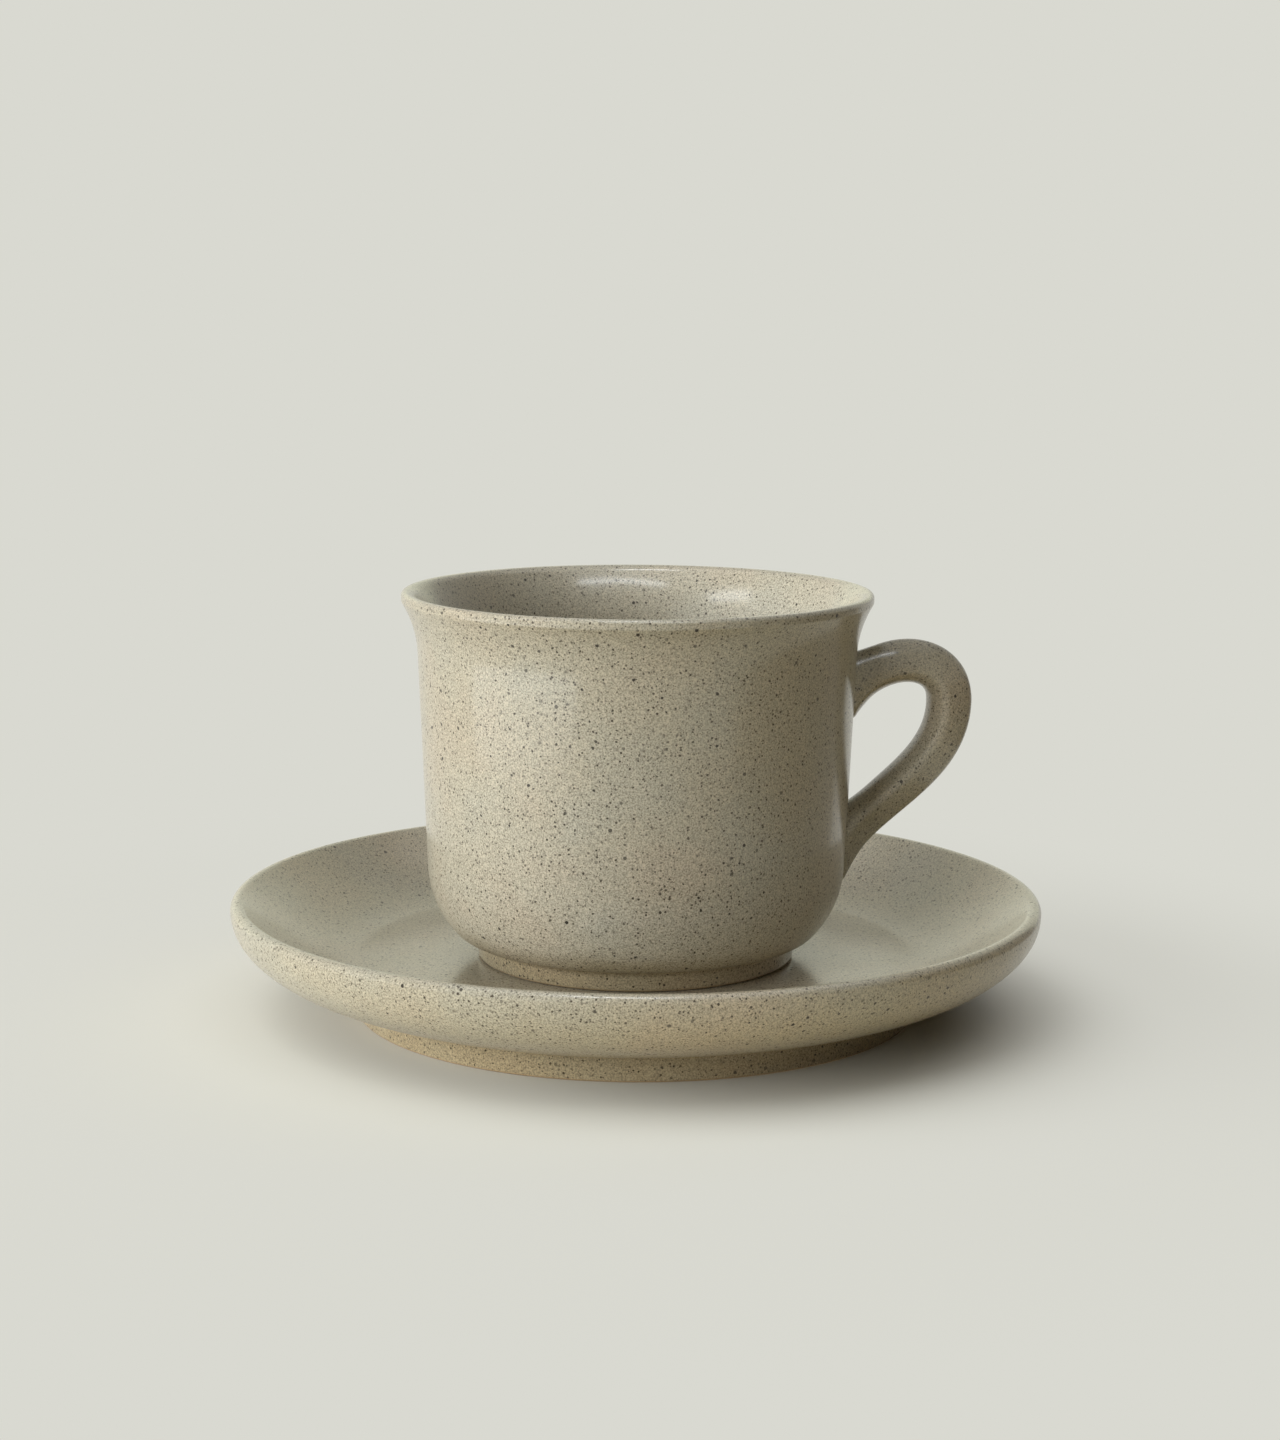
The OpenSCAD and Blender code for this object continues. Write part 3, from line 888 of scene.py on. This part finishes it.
def mix_shaders(tree, factor, first, second):
    """One shader where the factor is 0, and the other where it is 1."""
    node = add_node(tree, "ShaderNodeMixShader", Fac=factor)
    tree.links.new(first.outputs[0], node.inputs[1])
    tree.links.new(second.outputs[0], node.inputs[2])
    return node


def seen_directly(tree):
    """1 for what the camera sees, straight, in a gloss or through glass, and 0 for light that falls."""
    path = add_node(tree, "ShaderNodeLightPath").outputs
    seen = maths(tree, "MAXIMUM", path["Is Camera Ray"], path["Is Glossy Ray"])
    return maths(tree, "MAXIMUM", seen, path["Is Transmission Ray"])


def floor_finish(look):
    """Plain pale floor that keeps the shadow near the piece and runs out into the backdrop's colour."""
    material = bpy.data.materials.new("pale_floor")
    material.use_nodes = True
    tree = material.node_tree
    tree.nodes.clear()
    place = add_node(tree, "ShaderNodeTexCoord").outputs["Object"]
    away = add_node(tree, "ShaderNodeVectorMath", {"operation": "DISTANCE"})
    tree.links.new(place, away.inputs[0])
    away.inputs[1].default_value = SHADOW_CENTRE
    away = away.outputs["Value"]
    # What is seen of the floor: lit near the piece, and plain further away.
    lit = add_node(tree, "ShaderNodeBsdfDiffuse", Color=(*look.floor, 1))
    plain = add_node(tree, "ShaderNodeEmission", Color=(*look.floor, 1), Strength=1)
    quick = ramp(tree, away, SHADOW_RADIUS, FADED_RADIUS, 0.0, FADED_SHARE)
    slow = ramp(tree, away, FADED_RADIUS, PLAIN_RADIUS, 0.0, 1 - FADED_SHARE)
    shown = mix_shaders(tree, maths(tree, "ADD", quick, slow), lit, plain)
    # What the floor throws back at the piece.
    warm = add_node(tree, "ShaderNodeBsdfDiffuse", Color=(*look.bounce, 1))
    dark = add_node(tree, "ShaderNodeBsdfDiffuse", Color=(0, 0, 0, 1))
    thrown = mix_shaders(tree, ramp(tree, away, BOUNCE_RADIUS, BOUNCE_END), warm, dark)
    top = mix_shaders(tree, seen_directly(tree), thrown, shown)
    # From below the floor is clear, so that the feet can be seen.
    below = add_node(tree, "ShaderNodeNewGeometry").outputs["Backfacing"]
    clear = add_node(tree, "ShaderNodeBsdfTransparent")
    sided = mix_shaders(tree, below, top, clear)
    add_node(tree, "ShaderNodeOutputMaterial", Surface=sided.outputs[0])
    return material


def studio_world(scene, look):
    """Backdrop in the floor's colour, and a weaker light from all around."""
    world = bpy.data.worlds.new("studio")
    world.use_nodes = True
    tree = world.node_tree
    tree.nodes.clear()
    around = add_node(tree, "ShaderNodeBackground", Color=(*look.around_light, 1), Strength=look.ambient)
    backdrop = add_node(tree, "ShaderNodeBackground", Color=(*look.floor, 1), Strength=1)
    either = mix_shaders(tree, seen_directly(tree), around, backdrop)
    add_node(tree, "ShaderNodeOutputWorld", Surface=either.outputs[0])
    scene.world = world


def add_lamp(name, setting, power, tint):
    """A large soft lamp that faces the piece."""
    bearing_from_x = CAMERA_TURN - math.pi / 2 - math.radians(setting["bearing"])
    height = math.radians(setting["height"])
    level = setting["distance"] * math.cos(height)
    rise = setting["distance"] * math.sin(height)
    offset = Vector((level * math.cos(bearing_from_x), level * math.sin(bearing_from_x), rise))
    start_clean()
    facing = (-offset).to_track_quat("-Z", "Y").to_euler()
    bpy.ops.object.light_add(type="AREA", location=AIM + offset, rotation=facing)
    lamp = bpy.context.object
    lamp.name = name
    lamp.data.shape = "RECTANGLE"
    lamp.data.size, lamp.data.size_y = setting["size"]
    lamp.data.energy = power
    lamp.data.color = tint
    lamp.visible_camera = False
    return lamp


def light_only(lamp, lit_objects):
    """Lets a lamp light these objects alone. Returns the collection that holds them."""
    lit = bpy.data.collections.new("lit_by_" + lamp.name)
    for lit_object in lit_objects:
        lit.objects.link(lit_object)
    lamp.light_linking.receiver_collection = lit
    return lit


def named(pieces):
    """The objects with these names."""
    return [bpy.data.objects[name] for name in pieces]


def add_under_lamp(power, tint):
    """A spot that shines up through the floor into the hollow of the saucer's foot."""
    start_clean()
    bpy.ops.object.light_add(type="SPOT", location=(0, 0, -UNDER_LAMP_DEPTH), rotation=(math.pi, 0, 0))
    lamp = bpy.context.object
    lamp.name = "under_lamp"
    sizes = bpy.context.scene.stoneware.saucer
    lit_radius = sizes.foot_diameter / 2 - sizes.foot_edge
    lamp.data.spot_size = 2 * math.atan(lit_radius / UNDER_LAMP_DEPTH)
    lamp.data.spot_blend = 0
    lamp.data.shadow_soft_size = 0
    lamp.data.energy = power
    lamp.data.color = tint
    lamp.light_linking.blocker_collection = light_only(lamp, named(SAUCER_ONLY))


def add_flag():
    """A dark upright sheet that is only seen mirrored in the glaze."""
    start_clean()
    facing = (math.pi / 2, 0, math.pi / 2)
    bpy.ops.mesh.primitive_plane_add(size=1, location=FLAG_PLACE, rotation=facing)
    flag = bpy.context.object
    flag.name = "dark_flag"
    flag.scale = (*FLAG_SIZE, 1)
    bpy.ops.object.transform_apply(location=True, rotation=True, scale=True)
    finish = bpy.data.materials.new("dark_cloth")
    finish.use_nodes = True
    finish.node_tree.nodes.clear()
    cloth = add_node(finish.node_tree, "ShaderNodeEmission", Color=FLAG_COLOUR, Strength=FLAG_TONE)
    add_node(finish.node_tree, "ShaderNodeOutputMaterial", Surface=cloth.outputs[0])
    flag.data.materials.append(finish)
    flag.visible_camera = False
    flag.visible_diffuse = False
    flag.visible_shadow = False


class STONEWARE_OT_stage(Operator):
    """Lay the floor, light the piece and set the camera"""

    bl_idname = "stoneware.stage"
    bl_label = "Stage"

    def execute(self, context):
        scene = context.scene
        look = scene.stoneware.stage
        start_clean()
        bpy.ops.mesh.primitive_plane_add(size=FLOOR_SIZE)
        floor = context.object
        floor.name = "floor"
        floor.data.materials.append(floor_finish(look))
        studio_world(scene, look)
        key_lamp = add_lamp("key_lamp", KEY_LAMP, look.key_power, look.key_light)
        key_lamp.visible_glossy = False
        add_lamp("top_lamp", TOP_LAMP, look.top_power * HANDLE_SHARE, look.top_light)
        rest_power = look.top_power * (1 - HANDLE_SHARE)
        second_top = add_lamp("second_top_lamp", SECOND_TOP_LAMP, rest_power, look.top_light)
        light_only(second_top, [floor, *named(ROUND_PIECES)])
        for card in GLEAM_CARDS:
            gleam = add_lamp("gleam_card", card, card["power"], getattr(look, card["tint"]))
            gleam.visible_diffuse = False
            gleaming = light_only(gleam, named(card["on"]))
            # The cup does not hide the handle's own card.
            if card["on"] == HANDLE_ONLY:
                gleam.light_linking.blocker_collection = gleaming
        add_under_lamp(look.under_power, look.top_light)
        add_flag()
        floor_lamp = add_lamp("floor_lamp", FLOOR_LAMP, look.floor_power, look.key_light)
        light_only(floor_lamp, [floor])
        turn = Matrix.Rotation(CAMERA_TURN, 3, "Z")
        tilt = Matrix.Rotation(CAMERA_TILT, 3, "X")
        roll = Matrix.Rotation(CAMERA_ROLL, 3, "Z")
        bpy.ops.object.camera_add(location=CAMERA_PLACE, rotation=(turn @ tilt @ roll).to_euler())
        camera = context.object
        camera.name = "camera"
        camera.data.lens = CAMERA_LENS
        camera.data.clip_start = CAMERA_NEAR
        scene.camera = camera
        scene.view_settings.view_transform = "Standard"
        return {"FINISHED"}


class STONEWARE_PT_panel(Panel):
    """Sizes, looks and buttons of the cup and its saucer"""

    bl_idname = "STONEWARE_PT_panel"
    bl_label = "Stoneware cup"
    bl_space_type = "VIEW_3D"
    bl_region_type = "UI"
    bl_category = "Stoneware"

    def draw(self, context):
        layout = self.layout
        settings = context.scene.stoneware
        for operator in OPERATORS:
            layout.operator(operator.bl_idname)
        for group_name in settings.bl_rna.properties.keys():
            group = getattr(settings, group_name)
            if not isinstance(group, PropertyGroup):
                continue
            box = layout.box()
            box.label(text=group_name.title())
            for name in group.__annotations__:
                box.prop(group, name)


OPERATORS = (STONEWARE_OT_saucer, STONEWARE_OT_cup_body, STONEWARE_OT_cup_handle, STONEWARE_OT_stage)
GROUPS = (CupSizes, HandleSizes, SaucerSizes, GlazeLook, StageLook, StonewareSettings)
CLASSES = (*GROUPS, *OPERATORS, STONEWARE_PT_panel)


def register():
    for cls in CLASSES:
        bpy.utils.register_class(cls)
    bpy.types.Scene.stoneware = PointerProperty(type=StonewareSettings)


def unregister():
    del bpy.types.Scene.stoneware
    for cls in reversed(CLASSES):
        bpy.utils.unregister_class(cls)


def main():
    register()
    bpy.ops.stoneware.saucer()
    bpy.ops.stoneware.cup_body()
    bpy.ops.stoneware.cup_handle()
    bpy.ops.stoneware.stage()


if __name__ == "__main__":
    main()
